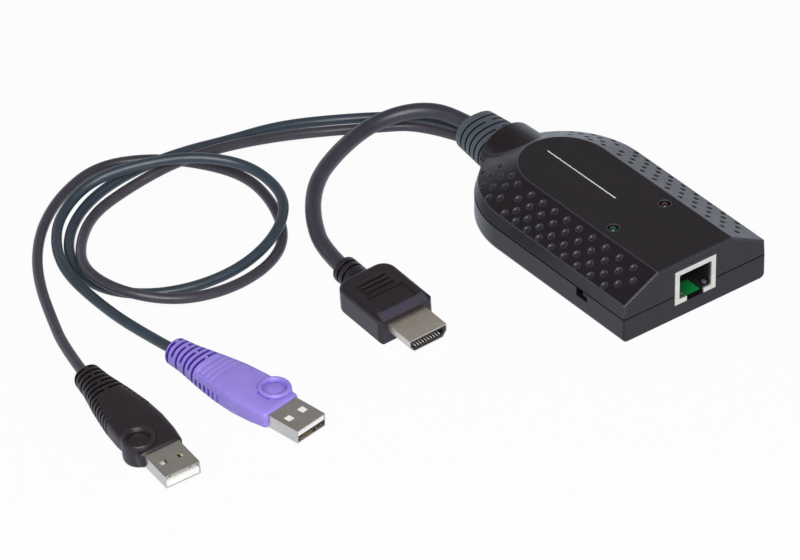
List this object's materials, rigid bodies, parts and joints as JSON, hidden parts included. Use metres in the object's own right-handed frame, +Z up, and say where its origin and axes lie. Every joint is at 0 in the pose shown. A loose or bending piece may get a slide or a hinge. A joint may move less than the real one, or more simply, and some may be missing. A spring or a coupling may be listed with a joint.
{
  "type": "keyboard, video and mouse switch adapter with cords",
  "caption": "Dark moulded adapter box with a network jack and lamps at one end and a slotted boot at the other, from which a video cord and looped data cords run to their plugs.",
  "frame": {"origin": "centre of the box and its boot on the surface that it stands on, cords and plugs left out", "axes": "+Y from the network jack to the cord boot along the box, +X to the right seen from the jack end, +Z up from the base"},
  "size_m": [0.2123, 0.1728, 0.0211],
  "materials": {
    "dark_housing": "moulded ABS, fine satin texture",
    "grey_boot": "soft moulded PVC, satin",
    "dark_cord_jacket": "extruded PVC, semi-gloss",
    "black_cord_jacket": "extruded PVC, semi-gloss",
    "violet_jacket": "extruded PVC, semi-gloss",
    "violet_overmould": "moulded PVC, satin",
    "black_overmould": "moulded PVC, satin",
    "nickel_plate": "nickel-plated steel, satin bright",
    "tin_plate": "tin-plated steel, satin",
    "gold_contact": "gold-plated spring wire",
    "black_insulator": "moulded nylon, matt",
    "white_insulator": "moulded nylon, matt",
    "green_board": "glass-epoxy board with solder resist",
    "package_epoxy": "moulded epoxy, matt",
    "header_nylon": "moulded nylon",
    "lead_jacket": "extruded PVC",
    "green_lamp": "tinted epoxy lens, glossy",
    "red_lamp": "tinted epoxy lens, glossy",
    "zinc_screw": "black zinc-plated steel"
  },
  "bodies": {
    "adapter": {"top_cover": "dark_housing", "bottom_cover": "dark_housing", "housing_screws": "zinc_screw", "circuit_board": "green_board", "main_chip": "package_epoxy", "video_chip": "package_epoxy", "network_transformer": "package_epoxy", "crystal": "tin_plate", "wire_headers": "header_nylon", "inner_leads": "lead_jacket", "jack_shield": "tin_plate", "jack_insert": "black_insulator", "jack_contacts": "gold_contact", "link_lamp": "green_lamp", "power_lamp": "red_lamp", "lamp_leads": "tin_plate", "switch_body": "black_insulator", "strain_relief_boot": "grey_boot", "video_cord": "dark_cord_jacket", "violet_plug_cord": "violet_jacket", "black_plug_cord": "black_cord_jacket", "video_plug_grip": "black_overmould", "video_plug_sleeve": "nickel_plate", "video_plug_insert": "black_insulator", "video_plug_contacts": "gold_contact", "violet_plug_grip": "violet_overmould", "violet_plug_sleeve": "nickel_plate", "violet_plug_tongue": "white_insulator", "violet_plug_contacts": "gold_contact", "black_plug_grip": "black_overmould", "black_plug_sleeve": "nickel_plate", "black_plug_tongue": "white_insulator", "black_plug_contacts": "gold_contact"},
    "mode_switch": {"switch_knob": "black_insulator"}
  },
  "joints": [
    {"name": "mode_switch_slide", "type": "slide", "parent": "adapter", "child": "mode_switch", "axis": [0, 1, 0], "range_m": [0, 0.0015]}
  ]
}
